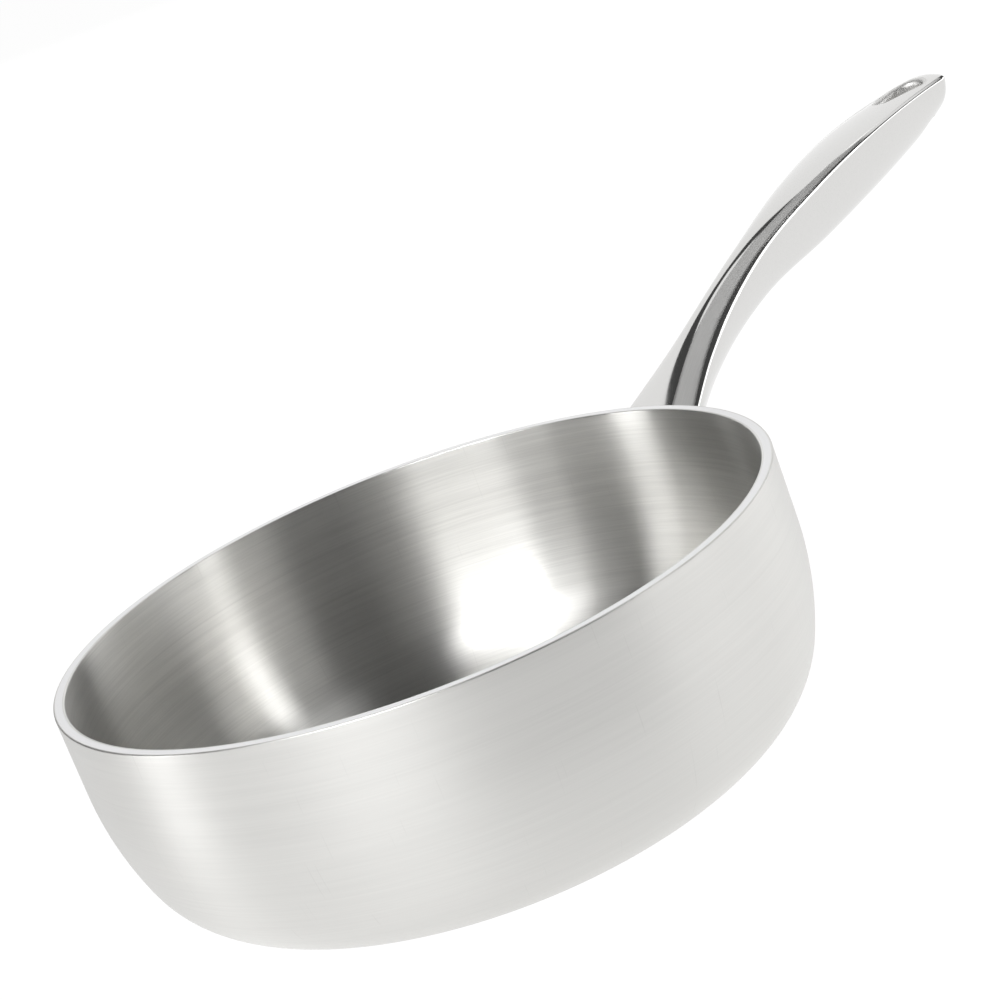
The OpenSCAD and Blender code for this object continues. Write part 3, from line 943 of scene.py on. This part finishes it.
class SAUCIER_OT_body(bpy.types.Operator):
    """Spins the three plies of the pan's body, with their brushed finishes"""

    bl_idname = "saucier.body"
    bl_label = "Body"

    def execute(self, context):
        b = context.scene.saucier_body
        ply_piece("outer_shell", 0, b.shell, "brushed_shell", rounded=1)
        ply_piece("aluminium_core", b.shell, b.core, "core_edge")
        depth = b.shell + b.core
        ply_piece("cooking_liner", depth, b.liner, "brushed_liner", rounded=-1)
        return {"FINISHED"}


class SAUCIER_OT_upper_shell(bpy.types.Operator):
    """Builds the handle's polished upper shell"""

    bl_idname = "saucier.upper_shell"
    bl_label = "Upper shell"

    def execute(self, context):
        shell_piece("handle_upper_shell", 0)
        return {"FINISHED"}


class SAUCIER_OT_lower_shell(bpy.types.Operator):
    """Builds the handle's polished lower shell, with its vent"""

    bl_idname = "saucier.lower_shell"
    bl_label = "Lower shell"

    def execute(self, context):
        piece = shell_piece("handle_lower_shell", 2)
        sizes = context.scene.saucier_handle
        middle = Vector((WALL_RADIUS + VENT_AT * sizes.reach, 0))
        turns = spaced(0, 2 * pi, VENT_SIDES)[:-1]
        hole = [middle + Vector((cos(a), sin(a))) * sizes.vent / 2 for a in turns]
        cut_away(piece, hole, 0, HandleForm(sizes).top(VENT_AT) - sizes.depths[1] / 2)
        return {"FINISHED"}


class SAUCIER_OT_seam_welds(bpy.types.Operator):
    """Builds the two ground welds that join the shells"""

    bl_idname = "saucier.seam_welds"
    bl_label = "Seam welds"

    def execute(self, context):
        form = HandleForm(context.scene.saucier_handle)
        sheet = form.sizes.sheet
        bm = blank()
        for side in (1, -1):
            rings = []
            for t, s in zip(form.places(0), form.places(sheet)):
                points = [(p, t) for p in form.outline(t, 0, True, 1)]
                points += [(p, s) for p in reversed(form.outline(s, sheet, False, 1))]
                rings.append([form.spot(Vector((p.x * side, p.y)), q) for p, q in points])
            rows = loft(bm, rings)
            mark_facets(bm, form, rows, 1)
            cap(bm, rows[0], 2)
        finished(bm, "steel_handle_seam_welds", "handle_steel", "handle_seam_welds")
        return {"FINISHED"}


class SAUCIER_OT_slot_sleeve(bpy.types.Operator):
    """Builds the tube that lines the hang slot, with its softly rounded lips"""

    bl_idname = "saucier.slot_sleeve"
    bl_label = "Slot sleeve"

    def execute(self, context):
        form = HandleForm(context.scene.saucier_handle)

        def lip(radius, stretch, sign):
            """Rings of points from the shell's surface into the slot, on a quarter round."""
            rings = []
            for a in spaced(0, pi / 2, LIP_STEPS):
                shift = sign * radius * (1 - cos(a))
                row = form.slot_outline(radius * (1 - sin(a)))
                rings.append([(p.x, p.y, form.height(p.x, p.y, stretch) + shift) for p in row])
            return rings

        rings = lip(form.sizes.slot_lip, 0, -1) + lip(form.sizes.sleeve, 2, 1)[::-1]
        bm = blank()
        loft(bm, rings + rings[:1])
        finished(bm, "steel_hang_slot_sleeve", "slot_steel", "hang_slot_sleeve")
        return {"FINISHED"}


class SAUCIER_OT_foot_welds(bpy.types.Operator):
    """Builds the hollow fillet weld round the foot, and finishes the plate and the pads"""

    bl_idname = "saucier.foot_welds"
    bl_label = "Foot welds"

    def execute(self, context):
        form = HandleForm(context.scene.saucier_handle)
        leg = form.sizes.fillet
        root = [form.spot(p, form.foot_t) for p in form.loop(form.foot_t, 0, True)]
        up = form.foot_t + leg / form.sizes.reach
        on_handle = [form.spot(p, up) for p in form.loop(up, 0, True)]
        on_plate = [form.spot(p, form.foot_t) for p in form.loop(form.foot_t, -leg, True)]
        rings = [
            [r + (h - r) * (1 - sin(a)) + (p - r) * (1 - cos(a))
             for r, h, p in zip(root, on_handle, on_plate)]
            for a in spaced(0, pi / 2, WELD_STEPS)]
        bm = blank()
        loft(bm, [root] + rings + [root])
        finished(bm, "steel_handle_foot_weld", "foot_weld", "handle_foot_weld")
        dress("handle_foot_plate", "foot_weld")
        dress("foot_weld_pads", "foot_weld")
        return {"FINISHED"}


class SAUCIER_OT_stage(bpy.types.Operator):
    """Sets up the floor, the lamps and the camera"""

    bl_idname = "saucier.stage"
    bl_label = "Stage"

    def execute(self, context):
        stage = context.scene.saucier_stage
        context.scene.view_settings.view_transform = "Standard"
        self.make_floor(stage)
        self.make_world()
        self.make_lamps()
        self.make_camera(stage)
        return {"FINISHED"}

    def make_floor(self, stage):
        """A white floor that still takes the pan's shadow."""
        bm = bmesh.new()
        bmesh.ops.create_grid(bm, x_segments=1, y_segments=1, size=stage.floor_size / 2)
        floor = add_piece("floor", bm)
        f = Finish(bpy.data.materials.new("floor_white"))
        path = f.node("ShaderNodeLightPath").socket.node
        camera, glossy, through = (
            Shade(f, path.outputs["Is %s Ray" % kind]) for kind in ("Camera", "Glossy", "Transmission"))
        seen = (camera + glossy + through).clamp()
        glow = f.node("ShaderNodeEmission", inputs={"Color": WHITE, "Strength": FLOOR_GLOW})
        paint = f.node("ShaderNodeBsdfDiffuse", inputs={"Color": rgba(WHITE[:3], FLOOR_PAINT)})
        f.end(f.node("ShaderNodeMixShader", inputs={0: FLOOR_SHARE * seen, 1: paint, 2: glow}))
        floor.data.materials.append(f.block)

    def make_world(self):
        """Pale round the horizon and dim above it, so that the softboxes stand out in the steel."""
        world = bpy.data.worlds.new("studio")
        bpy.context.scene.world = world
        f = Finish(world)
        way = f.node("ShaderNodeTexCoord", output=0)
        height = f.xyz(way)[2]
        low, high = (sin(radians(angle)) for angle in WORLD_BAND)
        level = f.between(height, low, high, WORLD_LOW, WORLD_HIGH)
        sky = f.node("ShaderNodeBackground", inputs={"Color": WHITE, "Strength": level})
        f.node("ShaderNodeOutputWorld", inputs={"Surface": sky})

    def make_lamps(self):
        """The softboxes, each facing the pan."""
        for name, (azimuth, height, wide, tall, radiance) in SOFTBOXES.items():
            light = bpy.data.lights.new(name, "AREA")
            light.shape = "RECTANGLE"
            light.size = 2 * LAMP_DISTANCE * tan(radians(wide / 2))
            light.size_y = 2 * LAMP_DISTANCE * tan(radians(tall / 2))
            light.energy = radiance * pi * light.size * light.size_y
            lamp = add_object(name, light)
            a, e = radians(azimuth), radians(height)
            way = Vector((cos(a) * cos(e), sin(a) * cos(e), sin(e)))
            turn = way.to_track_quat("Z", "Y").to_matrix().to_4x4()
            lamp.matrix_world = Matrix.Translation(way * LAMP_DISTANCE + LAMP_AIM) @ turn
            lamp.visible_camera = False

    def make_camera(self, stage):
        """The camera, placed and rolled to match the photo."""
        data = bpy.data.cameras.new("camera")
        data.lens = stage.camera_lens
        data.sensor_width = SENSOR_WIDTH
        camera = add_object("camera", data)
        place, aim = Vector(stage.camera_place), Vector(stage.camera_aim)
        turn = (aim - place).to_track_quat("-Z", "Y").to_matrix().to_4x4()
        roll = Matrix.Rotation(stage.camera_roll, 4, "Z")
        camera.matrix_world = Matrix.Translation(place) @ turn @ roll
        bpy.context.scene.camera = camera


class SAUCIER_PT_panel(bpy.types.Panel):
    """Lists the steps that dress the pan"""

    bl_idname = "SAUCIER_PT_panel"
    bl_label = "Saucier pan"
    bl_space_type = "VIEW_3D"
    bl_region_type = "UI"
    bl_category = "Saucier"

    def draw(self, context):
        for step in STEPS:
            self.layout.operator(step.bl_idname)


STEPS = (
    SAUCIER_OT_body,
    SAUCIER_OT_upper_shell,
    SAUCIER_OT_lower_shell,
    SAUCIER_OT_seam_welds,
    SAUCIER_OT_slot_sleeve,
    SAUCIER_OT_foot_welds,
    SAUCIER_OT_stage,
)
GROUPS = {
    "saucier_finish": SaucierFinish,
    "saucier_body": SaucierBody,
    "saucier_handle": SaucierHandle,
    "saucier_stage": SaucierStage,
}


def register():
    for group in GROUPS.values():
        bpy.utils.register_class(group)
    for name, group in GROUPS.items():
        setattr(bpy.types.Scene, name, PointerProperty(type=group))
    for step in STEPS:
        bpy.utils.register_class(step)
    bpy.utils.register_class(SAUCIER_PT_panel)


def unregister():
    bpy.utils.unregister_class(SAUCIER_PT_panel)
    for step in reversed(STEPS):
        bpy.utils.unregister_class(step)
    for name, group in GROUPS.items():
        delattr(bpy.types.Scene, name)
        bpy.utils.unregister_class(group)


def main():
    register()
    for step in STEPS:
        area, name = step.bl_idname.split(".")
        getattr(getattr(bpy.ops, area), name)()


if __name__ == "__main__":
    main()
